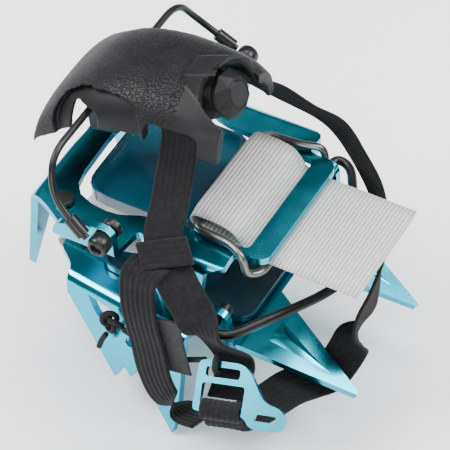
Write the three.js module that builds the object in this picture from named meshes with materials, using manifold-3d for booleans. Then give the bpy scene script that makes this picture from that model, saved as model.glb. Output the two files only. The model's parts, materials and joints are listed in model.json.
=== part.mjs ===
// Ski-touring crampon, packed: the heel section is stacked on the front section.
// Millimetres, +X to the front points, +Y to the crampon's left side, +Z up.
// Built round the middle of the heel section's front bar, then moved so that the origin
// is at the bottom centre of the whole crampon.
import * as THREE from 'three';
import { mergeVertices } from 'three/addons/utils/BufferGeometryUtils.js';
import { ConvexGeometry } from 'three/addons/geometries/ConvexGeometry.js';
import Module from 'manifold-3d';

const wasm = await Module();
wasm.setup();

// ---------------------------------------------------------------- driving dimensions
const SHEET = 2.5; // aluminium plate
const BEND_RADIUS = 4; // outside radius of a bend
const BEND_STEPS = 4;
const GAP = 0.3; // running clearance
const STACK = 31; // heel plate above front plate
const BAND_WIDTH = 38;
const BAND_THICK = 1.6;
const STRAP_WIDTH = 12;
const STRAP_THICK = 1.2;
const BAR_HALF = 22.5; // half the heel section's front bar
const HEEL_EAR_Y = 37; // where the heel ears bend up
const HEEL_PIVOT = [-40, 7]; // x, z of the heel bail's pivots
const TOE_EAR_Y = 29.5;
const TOE_PIVOT = [-7.5, -18.5]; // x, z of the toe bail's pivots
const PIVOT_SHANK = 2;
const HEEL_WIRE = 1.1; // radii
const TOE_WIRE = 1.5;
const RING_WIRE = 1.2;
const CORD_RADIUS = 0.9;
const THROTTLE_PIN = [-59, 28]; // x, z of the wire inside the throttle
const KNOB_CENTRE = new THREE.Vector3(-22, 0, 38);
const KNOB_TILT = THREE.MathUtils.degToRad(24); // screw axis above the horizontal
const KNOB_RADIUS = 7.8;
const SCREW_RADIUS = 1.8;
const COWL_RADIUS = 11.6;
const ADJUST = 3; // throttle travel each way

// ---------------------------------------------------------------- materials
const metal = (color, roughness) => new THREE.MeshStandardMaterial({ color, roughness, metalness: 1 });
const matte = (color, roughness = 0.7) => new THREE.MeshStandardMaterial({ color, roughness, metalness: 0 });
const ANODISED = metal(0x2ba6bd, 0.28);
const STEEL = metal(0x8c8c8a, 0.35);
const BLACK_STEEL = metal(0x161617, 0.4);
const MOULDED = matte(0x262628, 0.55);
const BLACK_WEB = matte(0x1d1d1f, 0.85);
const GREY_WEB = matte(0xb4b6b4, 0.8);
const TEAL_FILM = matte(0x18455a, 0.2);
const LABEL = matte(0x333436, 0.6);

// ---------------------------------------------------------------- small helpers
const crampon = new THREE.Group();

function add(name, geometry, material, parent = crampon) {
  const mesh = new THREE.Mesh(geometry, material);
  mesh.name = name;
  parent.add(mesh);
  return mesh;
}

const mirrored = (points) => points.map(([x, y, ...rest]) => [x, -y, ...rest]).reverse();

// A closed outline from points [x, y, corner radius].
function outline(points, path = new THREE.Shape()) {
  const count = points.length;
  points.forEach(([x, y, radius = 0], i) => {
    const corner = new THREE.Vector2(x, y);
    const [before, after] = [points[(i + count - 1) % count], points[(i + 1) % count]].map(([nx, ny]) => {
      const reach = new THREE.Vector2(nx - x, ny - y);
      return corner.clone().add(reach.setLength(Math.min(radius, reach.length() / 2)));
    });
    if (i === 0) path.moveTo(before.x, before.y);
    else path.lineTo(before.x, before.y);
    if (radius > 0) path.quadraticCurveTo(x, y, after.x, after.y);
  });
  path.closePath();
  return path;
}

function welded(geometry) {
  const bare = geometry.clone();
  bare.deleteAttribute('normal');
  bare.deleteAttribute('uv');
  return mergeVertices(bare, 1e-4);
}

function solid(geometry) {
  const merged = welded(geometry);
  return new wasm.Manifold(new wasm.Mesh({
    numProp: 3,
    vertProperties: new Float32Array(merged.attributes.position.array),
    triVerts: new Uint32Array(merged.index.array),
  }));
}

function geometryOf(manifold) {
  const mesh = manifold.getMesh();
  const geometry = new THREE.BufferGeometry();
  geometry.setAttribute('position', new THREE.BufferAttribute(mesh.vertProperties, 3));
  geometry.setIndex(new THREE.BufferAttribute(mesh.triVerts, 1));
  geometry.computeVertexNormals();
  return geometry;
}

// ---------------------------------------------------------------- sheet metal
// A sheet keeps each vertex's place in the flat pattern beside its place in space,
// so that folds are set out on the flat pattern, outermost fold first.
function flatSheet(shape, thickness = SHEET) {
  const options = { depth: thickness, bevelEnabled: false, curveSegments: 3 };
  const merged = welded(new THREE.ExtrudeGeometry(shape, options).translate(0, 0, -thickness));
  const position = merged.attributes.position;
  const point = (_, i) => new THREE.Vector3().fromBufferAttribute(position, i);
  const points = Array.from({ length: position.count }, point);
  const index = Array.from(merged.index.array);
  const triangles = [];
  while (index.length) triangles.push(index.splice(0, 3));
  return { thickness, points, flat: points.map((p) => new THREE.Vector2(p.x, p.y)), triangles };
}

// Cuts the triangles along the line where distance(flat point) is zero, where within allows it.
function slice(sheet, distance, within) {
  const near = 1e-4;
  const side = sheet.flat.map((p) => {
    const d = distance(p);
    return Math.abs(d) < near ? 0 : d;
  });
  const made = new Map();
  const crossing = (a, b) => {
    if (side[a] * side[b] >= 0) return undefined;
    const [low, high] = a < b ? [a, b] : [b, a];
    const key = `${low} ${high}`;
    if (!made.has(key)) {
      const share = side[low] / (side[low] - side[high]);
      const flat = sheet.flat[low].clone().lerp(sheet.flat[high], share);
      const allowed = within(flat);
      made.set(key, allowed ? sheet.points.length : undefined);
      if (allowed) {
        sheet.flat.push(flat);
        sheet.points.push(sheet.points[low].clone().lerp(sheet.points[high], share));
      }
    }
    return made.get(key);
  };
  const kept = [];
  for (const triangle of sheet.triangles) {
    const cuts = triangle.map((v, i) => crossing(v, triangle[(i + 1) % 3]));
    const crossed = triangle.filter((v, i) => side[v] * side[triangle[(i + 1) % 3]] < 0).length;
    const found = cuts.filter((cut) => cut !== undefined).length;
    if (found === 0) {
      kept.push(triangle);
    } else if (found < crossed || found === 1) {
      const i = cuts.findIndex((cut) => cut !== undefined);
      const [a, b, c] = [0, 1, 2].map((step) => triangle[(i + step) % 3]);
      kept.push([a, cuts[i], c], [cuts[i], b, c]);
    } else {
      const i = cuts.indexOf(undefined); // the edge that isn't cut faces the lone corner
      const [a, b, c] = [0, 1, 2].map((step) => triangle[(i + step) % 3]);
      const [onB, onC] = [cuts[(i + 1) % 3], cuts[(i + 2) % 3]];
      kept.push([onB, c, onC], [a, b, onB], [a, onB, onC]);
    }
  }
  sheet.triangles = kept;
}

// Bends what lies past a line of the flat pattern: at is a point of the line, out points past it.
function fold(sheet, { at, out, degrees, up = false, within = () => true, steps = BEND_STEPS }) {
  const start = new THREE.Vector2(...at);
  const normal = new THREE.Vector2(...out).normalize();
  const angle = THREE.MathUtils.degToRad(degrees);
  const length = BEND_RADIUS * angle;
  const past = (p) => (p.x - start.x) * normal.x + (p.y - start.y) * normal.y;
  for (let i = 0; i <= steps; i += 1) slice(sheet, (p) => past(p) - (i * length) / steps, within);
  const face = up ? -sheet.thickness : 0;
  const turn = up ? 1 : -1;
  sheet.points.forEach((point, i) => {
    const travelled = Math.min(past(sheet.flat[i]), length);
    if (travelled <= 0 || !within(sheet.flat[i])) return;
    const swing = travelled / BEND_RADIUS;
    const here = past(point);
    const over = here - travelled;
    const height = point.z - face;
    const along = Math.sin(swing) * BEND_RADIUS + over * Math.cos(swing) - turn * height * Math.sin(swing);
    const lift = BEND_RADIUS * (1 - Math.cos(swing)) + over * Math.sin(swing);
    const rise = turn * lift + height * Math.cos(swing);
    point.x += (along - here) * normal.x;
    point.y += (along - here) * normal.y;
    point.z = rise + face;
  });
}

function foldBoth(sheet, options) {
  for (const hand of [1, -1]) {
    const within = options.within ?? (() => true);
    fold(sheet, {
      ...options,
      at: [options.at[0], hand * options.at[1]],
      out: [options.out[0], hand * options.out[1]],
      within: (p) => hand * p.y > 0 && within(p),
    });
  }
}

function sheetGeometry(sheet) {
  const geometry = new THREE.BufferGeometry();
  const values = sheet.points.flatMap((p) => p.toArray());
  geometry.setAttribute('position', new THREE.Float32BufferAttribute(values, 3));
  geometry.setIndex(sheet.triangles.flat());
  geometry.computeVertexNormals();
  return geometry;
}

// ---------------------------------------------------------------- wires, webbing and turned pieces
const vector = ([x, y, z]) => new THREE.Vector3(x, y, z);

// Round wire through points, with bends of the given radius.
function wire(points, radius, { bend = 4, sides = 10, bendSteps = 3 } = {}) {
  const route = [];
  points.map(vector).forEach((corner, i, all) => {
    if (i === 0 || i === all.length - 1) {
      route.push(corner);
      return;
    }
    const ends = [all[i - 1], all[i + 1]].map((other) => {
      const reach = other.clone().sub(corner);
      return corner.clone().add(reach.setLength(Math.min(bend, reach.length() * 0.45)));
    });
    route.push(...new THREE.QuadraticBezierCurve3(ends[0], corner, ends[1]).getPoints(bendSteps));
  });
  return sweepRound(route, radius, sides);
}

// A ring of round wire, with its ends joined.
function closedWire(points, radius, bend) {
  const route = [];
  points.map(vector).forEach((corner, i, all) => {
    const ends = [all.at(i - 1), all[(i + 1) % all.length]].map((other) => {
      const reach = other.clone().sub(corner);
      return corner.clone().add(reach.setLength(Math.min(bend, reach.length() * 0.45)));
    });
    route.push(...new THREE.QuadraticBezierCurve3(ends[0], corner, ends[1]).getPoints(3));
  });
  const sides = 8;
  const torus = new THREE.TorusGeometry(1, 0.1, sides, route.length);
  const position = torus.attributes.position;
  const plane = new THREE.Vector3(0, 0, 1);
  for (let row = 0; row <= sides; row += 1) {
    for (let i = 0; i <= route.length; i += 1) {
      const [here, before, after] = [i, i - 1, i + 1].map((k) => route[(k + route.length) % route.length]);
      const tangent = after.clone().sub(before).normalize();
      const out = new THREE.Vector3().crossVectors(tangent, plane).normalize();
      const up = new THREE.Vector3().crossVectors(out, tangent);
      const angle = (row / sides) * 2 * Math.PI;
      const p = here.clone().addScaledVector(out, radius * Math.cos(angle));
      p.addScaledVector(up, radius * Math.sin(angle));
      position.setXYZ(row * (route.length + 1) + i, p.x, p.y, p.z);
    }
  }
  return welded(torus);
}

// A round bar along a chain of points.
function sweepRound(route, radius, sides) {
  const bar = new THREE.CylinderGeometry(radius, radius, 1, sides, route.length - 1).rotateX(Math.PI / 2);
  bar.translate(0, 0, 0.5);
  const frames = carriedFrames(route);
  return mapped(bar, (p) => {
    const i = Math.round(p.z * (route.length - 1));
    return route[i].clone().addScaledVector(frames[i].side, p.x).addScaledVector(frames[i].up, p.y);
  });
}

// Frames carried along a chain of points without twist.
function carriedFrames(route) {
  const tangents = route.map((_, i) => {
    const before = route[Math.max(i - 1, 0)];
    const after = route[Math.min(i + 1, route.length - 1)];
    return after.clone().sub(before).normalize();
  });
  const start = Math.abs(tangents[0].z) < 0.9 ? new THREE.Vector3(0, 0, 1) : new THREE.Vector3(1, 0, 0);
  let up = start.addScaledVector(tangents[0], -start.dot(tangents[0])).normalize();
  return tangents.map((tangent) => {
    up = up.clone().addScaledVector(tangent, -up.dot(tangent)).normalize();
    return { up, side: new THREE.Vector3().crossVectors(up, tangent) };
  });
}

function mapped(geometry, place) {
  const merged = welded(geometry);
  const position = merged.attributes.position;
  for (let i = 0; i < position.count; i += 1) {
    const p = place(new THREE.Vector3().fromBufferAttribute(position, i));
    position.setXYZ(i, p.x, p.y, p.z);
  }
  merged.computeVertexNormals();
  return merged;
}

// Flat webbing through stations [x, y, z, acrossX, acrossY, acrossZ].
function webbing(stations, width, thickness, steps, [from, to] = [0, 1]) {
  const centre = new THREE.CatmullRomCurve3(stations.map(vector), false, 'centripetal');
  const across = stations.map((s) => vector(s.slice(3)).normalize());
  const strip = new THREE.BoxGeometry(width, thickness, 1, 1, 1, steps).translate(0, 0, 0.5);
  return mapped(strip, (p) => {
    const t = from + (to - from) * THREE.MathUtils.clamp(p.z, 0, 1);
    const place = t * (stations.length - 1);
    const i = Math.min(Math.floor(place), stations.length - 2);
    const tangent = centre.getTangent(t);
    const side = across[i].clone().lerp(across[i + 1], place - i);
    side.addScaledVector(tangent, -side.dot(tangent)).normalize();
    const out = new THREE.Vector3().crossVectors(tangent, side);
    return centre.getPoint(t).addScaledVector(side, p.x).addScaledVector(out, p.y);
  });
}

function cylinder(radius, from, to, sides = 20) {
  const [a, b] = [vector(from), vector(to)];
  const geometry = new THREE.CylinderGeometry(radius, radius, a.distanceTo(b), sides);
  const upright = new THREE.Vector3(0, 1, 0);
  const turn = new THREE.Quaternion().setFromUnitVectors(upright, b.clone().sub(a).normalize());
  return geometry.applyQuaternion(turn).translate(...a.add(b).multiplyScalar(0.5).toArray());
}

// A round bar along Y, to cut aligned holes with.
const crossPin = (radius, x, z, reach) => solid(cylinder(radius, [x, -reach, z], [x, reach, z], 16));

const union = (...geometries) => geometryOf(geometries.map(solid).reduce((whole, next) => whole.add(next)));

// ---------------------------------------------------------------- heel section plate
function heelFrame() {
  const side = [
    [3, 0], [3, 20.5, 2], [0.5, BAR_HALF, 1.5], [-7, BAR_HALF, 2], [-7, 27, 2], [-6.5, 30, 2],
    [-12, 34], [-12, 48], [-20, 58], [-26, 46], [-33, 40, 2], [-34, 29, 1.5], [-36.5, 29, 1.5],
    [-37.5, 36.5], [-37, 53, 5], [-46, 52, 3], [-58, 46.5, 3], [-59, 36.5], [-60.5, 35.5, 2],
    [-68, 31, 3], [-76, 29], [-110, 26.5], [-80, 17], [-74, 13, 3], [-72, 0],
  ];
  const shape = outline([...side, ...mirrored(side).slice(1, -1)]);
  const opening = [[-4, 0], [-4, 20, 2], [-38, 22, 8], [-46, 27, 8], [-63, 24, 9], [-64, 0]];
  shape.holes.push(outline([...opening, ...mirrored(opening).slice(1, -1)].reverse(), new THREE.Path()));
  const sheet = flatSheet(shape);
  const earHeight = { at: [0, HEEL_EAR_Y], out: [0, 1], degrees: 88, up: true };
  foldBoth(sheet, { ...earHeight, within: (p) => p.x < -36.8 && p.x > -59.5 });
  foldBoth(sheet, { at: [0, 29.5], out: [0, 1], degrees: 72, within: (p) => p.x > -36.4 });
  fold(sheet, { at: [-70, 0], out: [-1, 0], degrees: 80 });
  return geometryOf(solid(sheetGeometry(sheet)).subtract(crossPin(PIVOT_SHANK + GAP, ...HEEL_PIVOT, 60)));
}

// ---------------------------------------------------------------- front section plate
function frontFrame() {
  const side = [
    [-1.5, 0], [-1.5, 6.5], [34.5, 19], [35, 20.2], [-3, 31.5], [-3.5, 33],
    [-3.5, 52, 4], [-11.5, 52, 4], [-12.5, 30.5, 1.2], [-17, 30.5, 1.2], [-18.5, 36],
    [-20.5, 64], [-22.5, 71.5], [-36, 53.5], [-38.5, 57.5], [-41.5, 54],
    [-44.5, 59.5], [-63, 36], [-63.5, 27, 2], [-67, 24, 2], [-71, 21, 2], [-71, 0],
  ];
  const shape = outline([...side, ...mirrored(side).slice(1, -1)]);
  const opening = [[-20, 0], [-20, 15, 5], [-56, 17, 6], [-56, 0]];
  shape.holes.push(outline([...opening, ...mirrored(opening).slice(1, -1)].reverse(), new THREE.Path()));
  const slot = [[-60, 0], [-60, 20, 1.5], [-65, 20, 1.5], [-65, 0]];
  shape.holes.push(outline([...slot, ...mirrored(slot).slice(1, -1)].reverse(), new THREE.Path()));
  for (const hand of [1, -1]) {
    const window = [[-55, 34], [-44, 36.5, 2], [-45, 43, 2.5], [-52, 40, 2.5]]
      .map(([x, y, r]) => [x, hand * y, r]);
    shape.holes.push(outline(hand > 0 ? window : window.reverse(), new THREE.Path()));
  }
  const sheet = flatSheet(shape);
  const earSpan = (p) => p.x > -14 && p.x < -3.2;
  foldBoth(sheet, { at: [0, TOE_EAR_Y + 1.5], out: [0, 1], degrees: 90, up: true, within: earSpan });
  foldBoth(sheet, { at: [-40, 30.3], out: [-0.13, 1], degrees: 74, within: (p) => p.x < -16 });
  fold(sheet, { at: [-3, 0], out: [1, 0], degrees: 26 });
  const plate = solid(sheetGeometry(sheet).translate(0, 0, -STACK));
  const toeHoles = crossPin(TOE_WIRE + GAP, ...TOE_PIVOT, 60);
  return geometryOf(plate.subtract(toeHoles).subtract(crossPin(1.5, -38, -43, 60)));
}

// ---------------------------------------------------------------- anti-balling plates
// A thin moulded tray inside a section's opening: a floor with a rim turned up round it.
function tray(points, floorZ, thickness, rim) {
  const grow = (by) => points.map(([x, y, r]) => [x + Math.sign(x + 42) * by, y + Math.sign(y) * by, r]);
  const block = (ring, height, z) => {
    const options = { depth: height, bevelEnabled: false, curveSegments: 5 };
    return solid(new THREE.ExtrudeGeometry(outline(ring), options).translate(0, 0, z));
  };
  return geometryOf(block(points, rim, floorZ).subtract(block(grow(-thickness), rim, floorZ + thickness)));
}

// ---------------------------------------------------------------- throttle
const screwAxis = new THREE.Vector3(Math.cos(KNOB_TILT), 0, Math.sin(KNOB_TILT));
const onScrew = (travel) => KNOB_CENTRE.clone().addScaledVector(screwAxis, travel).toArray();

// Stations along the shell: x, lower edge, crest, half width.
const SHELL = [
  [-78, 9, 15, 19], [-76, 12, 22, 19.5], [-70, 17, 30, 20], [-61, 23, 37, 20.5], [-52, 26.5, 41, 20.5],
  [-42, 28.5, 43, 20], [-34, 29.5, 43.5, 19.5], [-27, 29.5, 43.5, 19], [-20, 28, 43, 18.5],
  [-15, 27, 41.5, 17],
];
const SHELL_WALL = 2.4;

// The arched body of the lever, or the hollow inside it when wall is more than 0.
function lobe(wall) {
  const arcSteps = 14;
  const boxiness = 0.72; // 1 is a plain half ellipse
  const section = new THREE.Shape();
  for (let i = 0; i <= arcSteps; i += 1) {
    const angle = (i / arcSteps) * Math.PI;
    const across = Math.sign(Math.cos(angle)) * Math.abs(Math.cos(angle)) ** boxiness;
    const rise = i % arcSteps ? Math.sin(angle) ** boxiness : 0;
    section[i ? 'lineTo' : 'moveTo'](i === arcSteps ? -1 : across, rise);
  }
  const body = new THREE.ExtrudeGeometry(section, { depth: 1, steps: SHELL.length - 1, bevelEnabled: false });
  const past = wall > 0 ? 3 : 0; // the hollow runs out below and at both ends
  return solid(mapped(body, (p) => {
    const [x, low, crest, half] = SHELL[Math.round(p.z * (SHELL.length - 1))];
    const end = p.z < 0.01 ? -past : Number(p.z > 0.99) * past;
    return new THREE.Vector3(x + end, p.x * (half - wall), low - past + p.y * (crest - wall - low + past));
  }));
}

function throttleShell() {
  const cowl = solid(cylinder(COWL_RADIUS, onScrew(-7), onScrew(5.5), 8));
  const bore = solid(cylinder(KNOB_RADIUS + 1.4, onScrew(-6), onScrew(30), 24));
  const screwWay = solid(cylinder(SCREW_RADIUS + GAP, onScrew(-12), onScrew(0), 16));
  const wireWay = new THREE.BoxGeometry(2 * (ADJUST + HEEL_WIRE) + 1.4, 60, 30);
  wireWay.translate(THROTTLE_PIN[0], 0, THROTTLE_PIN[1] + ADJUST - 15);
  return geometryOf(lobe(0).subtract(lobe(SHELL_WALL)).add(cowl).subtract(bore).subtract(screwWay)
    .subtract(solid(wireWay)));
}

// Three rings of points, each turned half a step, give the knob its triangular facets.
function knob() {
  const facets = 9;
  const rings = [[-5, 6.6], [-2, KNOB_RADIUS], [3, KNOB_RADIUS], [6, 6.2]];
  const turn = new THREE.Quaternion().setFromUnitVectors(new THREE.Vector3(0, 0, 1), screwAxis);
  const points = rings.flatMap(([height, radius], ring) => Array.from({ length: facets }, (_, i) => {
    const angle = ((i + ring / 2) / facets) * 2 * Math.PI;
    return new THREE.Vector3(radius * Math.cos(angle), radius * Math.sin(angle), height)
      .applyQuaternion(turn).add(KNOB_CENTRE);
  }));
  return new ConvexGeometry(points);
}

function carriage() {
  const [x, z] = THROTTLE_PIN;
  const profile = outline([[x - 5, z + 3, 3], [x + 5, z + 3, 3], [x + 7, z - 11.5, 2], [x - 4, z - 14.5, 2]]);
  const width = 20;
  const block = new THREE.ExtrudeGeometry(profile, { depth: width, bevelEnabled: false, curveSegments: 4 });
  block.rotateX(Math.PI / 2).translate(0, width / 2, 0);
  const screwBore = solid(cylinder(SCREW_RADIUS + GAP, onScrew(-60), onScrew(-20), 16));
  return geometryOf(solid(block).subtract(crossPin(HEEL_WIRE + GAP, x, z, 20)).subtract(screwBore));
}

// ---------------------------------------------------------------- soft pieces
const SIDEWAYS = [0, 1, 0];

// The linking band: free tail, up through the slot, back over the ring, then slack to the front section.
function linkBand() {
  const run = [
    [31, -4.4], [14, -4.3], [2, -4.2], [-3.4, -4], [-6.2, -2.2], [-8, 0.6], [-10, 3], [-14, 4.3], [-20, 4.7],
    [-22.8, 4.2], [-24, 2.6], [-23.4, 0.7], [-21.5, -0.6], [-18, -1.5], [-14, -3.2], [-11.5, -7],
    [-13, -11.5],
    [-20, -15], [-34, -20], [-50, -25], [-60, -27.4], [-66, -29.2], [-70.2, -29.7], [-72.6, -30.7],
    [-73.3, -32.4], [-72.4, -34.2], [-70, -34.9], [-64, -35.1], [-56, -35.1],
  ];
  return webbing(run.map(([x, z]) => [x, 0, z, ...SIDEWAYS]), BAND_WIDTH, BAND_THICK, 72);
}

// Ankle strap: from the throttle down to the buckle, a drop loop beside it and a long loop round the front.
const strap = (stations, steps) => webbing(stations, STRAP_WIDTH, STRAP_THICK, steps);
const STRAP_TOP = [
  [-29, -14, 33, 1, 0, 0], [-28.5, -15, 28, 1, 0, 0], [-28, -18.5, 22, 1, 0, 0], [-27, -23, 17, 1, 0, 0],
  [-26, -27, 13.4, 1, 0, 0],
];
const STRAP_DROP = [
  [-27, -45.5, -4, 1, 0, 0], [-25.5, -48, -12, 1, 0, 0], [-23, -49, -24, 1, 0, 0],
  [-20.5, -50, -36, 1, 0, 0.1],
  [-17, -50.5, -42.5, 0.8, 0, 0.6], [-11, -51, -45, 0.1, -0.9, 0.3], [-3, -52, -43, 0.1, -0.9, 0.3],
];
const LOOP_START = [
  [-20, 22.5, 22, 1, 0, 0.3], [-11, 27, 14, 0.9, -0.2, 0.4], [-2, 30.5, 7, 0.7, -0.3, 0.7],
  [6, 29.5, -2, 0.5, -0.3, 0.8], [14, 25.6, -10, 0.4, -0.2, 0.9], [20.4, 17.6, -14, 0.3, -0.1, 1],
  [25.7, 6.6, -16, 0.2, 0, 1], [27, -2, -23, 0.1, 0, 1], [25, -8, -33, 0.3, 0.1, 1],
  [22.5, -11.5, -42, 0.8, 0.3, 0.3], [19.5, -16, -47.8, 0.9, -0.2, -0.44], [16, -22, -47, 0.9, -0.2, -0.44],
  [13, -28.5, -45, 0.9, -0.1, -0.44], [10.5, -37, -43.5, 0.9, 0, -0.35],
];

// ---------------------------------------------------------------- hook buckle
// Its plate lies in a frame of its own: along the hook, up to the cord bar, and out of its face.
const BUCKLE_THICK = 2.4;
const LOWER_BAR = -5.2; // height of the strap bar in the plate
const buckleAlong = new THREE.Vector3(0.97, 0.2, 0.12).normalize();
const buckleUp = new THREE.Vector3(-0.25, 0.75, 0.6).projectOnPlane(buckleAlong).normalize();
const buckleOut = new THREE.Vector3().crossVectors(buckleAlong, buckleUp);
const BUCKLE_CENTRE = new THREE.Vector3(4.4, -52, -26.7);
const onBuckle = (along, up, out) => BUCKLE_CENTRE.clone().addScaledVector(buckleAlong, along)
  .addScaledVector(buckleUp, up).addScaledVector(buckleOut, out).toArray();
const strapAtBuckle = (up, out) => [...onBuckle(0, up, out), ...buckleAlong.toArray()];

function hookBuckle() {
  const plate = outline([
    [-8.6, 9, 2.5], [6, 9, 3], [9.5, 4, 3], [13, -1.5, 3], [19.5, -2.5, 3.5], [20.5, -9.2, 3.5],
    [9.5, -9.6, 4],
    [7.5, -6.2, 2], [-8.6, -6.2, 1.5],
  ]);
  const slots = [[-6, 4.2, 4.6, 7.2], [-6.6, -4.2, 6.6, 2.4], [10.4, -6.8, 17.4, -4.8]];
  for (const [left, low, right, high] of slots) {
    const corners = [[left, high, 1], [left, low, 1], [right, low, 1], [right, high, 1]];
    plate.holes.push(outline(corners, new THREE.Path()));
  }
  const options = { depth: BUCKLE_THICK, bevelEnabled: false, curveSegments: 4 };
  const flat = new THREE.ExtrudeGeometry(plate, options).translate(0, 0, -BUCKLE_THICK / 2);
  const place = new THREE.Matrix4().makeBasis(buckleAlong, buckleUp, buckleOut).setPosition(BUCKLE_CENTRE);
  return flat.applyMatrix4(place);
}

// The strap comes down behind the plate, through the slot, round the lower bar and off as the long loop.
const wrapRadius = BUCKLE_THICK / 2 + GAP + 0.5 + STRAP_THICK / 2;
const WRAP = Array.from({ length: 7 }, (_, i) => {
  const angle = THREE.MathUtils.degToRad(100 - (i * 230) / 6);
  return strapAtBuckle(LOWER_BAR + wrapRadius * Math.sin(angle), wrapRadius * Math.cos(angle));
});
const STRAP_MAIN = [
  [-25, -32.5, 9, 1, 0, 0], [-22, -37, 5, 1, 0, -0.2], [-16, -41, 0, 1, 0, -0.5],
  [-10, -43.5, -6, 0.9, 0, -0.5],
  [-5, -45.5, -12, 0.9, 0, -0.4], strapAtBuckle(9.5, -6.4), strapAtBuckle(3, -5.6), strapAtBuckle(-1.4, -3.2),
];
const STRAP_LOOP = [...LOOP_START, strapAtBuckle(-9.5, -6), ...WRAP.reverse()];

// ---------------------------------------------------------------- keeper, label and cord
// A sewn loop round the ankle strap, a little larger than the strap all round.
function keeperLoop() {
  const sleeve = (grow, steps, span) => (
    solid(webbing(STRAP_MAIN, STRAP_WIDTH + grow, STRAP_THICK + grow, steps, span))
  );
  return geometryOf(sleeve(3.4, 6, [0.05, 0.22]).subtract(sleeve(1.3, 10, [0.02, 0.26])));
}

const LABEL_RUN = [[-17, -46.1, -12, 1, 0, 0], [-15.6, -46.5, -22, 1, 0, 0], [-13.6, -46.9, -33, 1, 0, 0]];
const KNOT_CENTRE = [-42.4, -38.8, -34];
const CORD = [
  [-37.8, -39.5, -34.2], [-34, -40.3, -34.4], [-28, -41.5, -34], [-22, -42.8, -33], [-16, -44, -31],
  [-10, -44.6, -27.5], [-5.5, -45.4, -24],
];
const CORD_TAIL = [[-43.8, -40.4, -38.6], [-45.4, -40.6, -41.8], [-46.7, -40.8, -45.5]];

function cordTube(points, steps) {
  const curve = new THREE.CatmullRomCurve3(points.map(vector));
  return sweepRound(curve.getPoints(steps), CORD_RADIUS, 8);
}

function knot() {
  const lump = new THREE.TorusKnotGeometry(2.3, CORD_RADIUS, 36, 6, 2, 3);
  return welded(lump).rotateX(Math.PI / 2).translate(...KNOT_CENTRE);
}

function cordHitch() {
  const barUp = 8.1; // middle of the buckle's cord bar
  const [high, wide] = [2.6, BUCKLE_THICK / 2 + GAP + CORD_RADIUS + 0.6];
  const turns = [0, 60, 120, 180, 240, 300].map((degrees) => {
    const angle = THREE.MathUtils.degToRad(degrees);
    return onBuckle(-3, barUp + high * Math.sin(angle), wide * Math.cos(angle));
  });
  return closedWire(turns, CORD_RADIUS, 2);
}

// ---------------------------------------------------------------- assembly
const legs = (points) => [...points, ...mirrored(points)];

add('front_frame', frontFrame(), ANODISED);
add('heel_frame', heelFrame(), ANODISED);

const trayRing = (front, rear, half) => [
  [front, -half, 6], [front, half, 6], [rear, half, 8], [rear, -half, 8],
];
add('heel_antiball_tray', tray(trayRing(-25, -61, 20.5), -5.2, 0.8, 4.4), TEAL_FILM);
add('front_antiball_plate', tray(trayRing(-3.5, -57, 24), -STACK + GAP, 1, 2.6), TEAL_FILM);

const [heelX, heelZ] = HEEL_PIVOT;
const earOuter = HEEL_EAR_Y + BEND_RADIUS + 0.2;
const bail = legs([
  [heelX - 3.9, earOuter + 3, heelZ + 1.2], [heelX - 16, 42, 17.5], [THROTTLE_PIN[0], 36, THROTTLE_PIN[1]],
]);
add('heel_bail_wire', wire(bail, HEEL_WIRE, { bend: 7 }), BLACK_STEEL);
for (const [name, hand] of [['left', 1], ['right', -1]]) {
  const pivot = union(
    cylinder(3.35, [heelX, hand * (earOuter + GAP), heelZ], [heelX, hand * (earOuter + 5), heelZ], 20),
    cylinder(PIVOT_SHANK, [heelX, hand * 35.5, heelZ], [heelX, hand * (earOuter + 1), heelZ], 16),
    cylinder(3.1, [heelX, hand * 35.2, heelZ], [heelX, hand * (HEEL_EAR_Y + 0.8), heelZ], 20),
  );
  add(`heel_pivot_${name}`, pivot, BLACK_STEEL);
  add(`rear_stud_${name}`, cylinder(3, [-62, hand * 28.5, GAP], [-62, hand * 28.5, 1.8], 16), BLACK_STEEL);
}

// Tubes pushed over the ends of the wires: an outer and an inner radius between two shares of a run.
function collar(from, to, [low, high], outer, inner) {
  const at = (share) => vector(from).lerp(vector(to), share).toArray();
  const bore = solid(cylinder(inner, at(low - 0.1), at(high + 0.1), 12));
  return geometryOf(solid(cylinder(outer, at(low), at(high), 12)).subtract(bore));
}
const handed = ([x, y, z], hand) => [x, hand * y, z];
for (const [name, hand] of [['left', 1], ['right', -1]]) {
  const [from, to] = [bail[0], bail[1]].map((p) => handed(p, hand));
  add(`bail_sleeve_${name}`, collar(from, to, [0.08, 0.5], HEEL_WIRE + 1, HEEL_WIRE + GAP), BLACK_STEEL);
}

add('throttle_carriage', carriage(), MOULDED);
add('throttle_shell', throttleShell(), MOULDED);
add('adjuster_knob', knob(), MOULDED);
add('adjuster_screw', cylinder(SCREW_RADIUS, onScrew(-44), onScrew(-5.4), 12), STEEL);

const [toeX, toeZ] = TOE_PIVOT;
const toeWire = [
  [toeX, 29, toeZ], [toeX, 39.5, toeZ], [-1.5, 38.5, -19], [6, 26, -19.5], [14.5, 12.5, -19.5],
  [18, 4, -19.5],
];
add('toe_bail_wire', wire(legs(toeWire), TOE_WIRE, { bend: 5 }), BLACK_STEEL);

for (const [name, hand] of [['left', 1], ['right', -1]]) {
  const [from, to] = [[toeX, 28, toeZ], [toeX, 38, toeZ]].map((p) => handed(p, hand));
  add(`toe_collar_${name}`, collar(from, to, [0.12, 0.4], TOE_WIRE + 1.2, TOE_WIRE + GAP), BLACK_STEEL);
}

const ring = [[-21.5, 21.4, 2.2], [-8.8, 22.4, 2.2], [-3.4, 24.8, 1.6], [-2.4, 24.8, -5.6], [0.5, 21, -7.4]];
add('ring_buckle', closedWire([...ring, ...mirrored(ring)], RING_WIRE, 3), STEEL);

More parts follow.
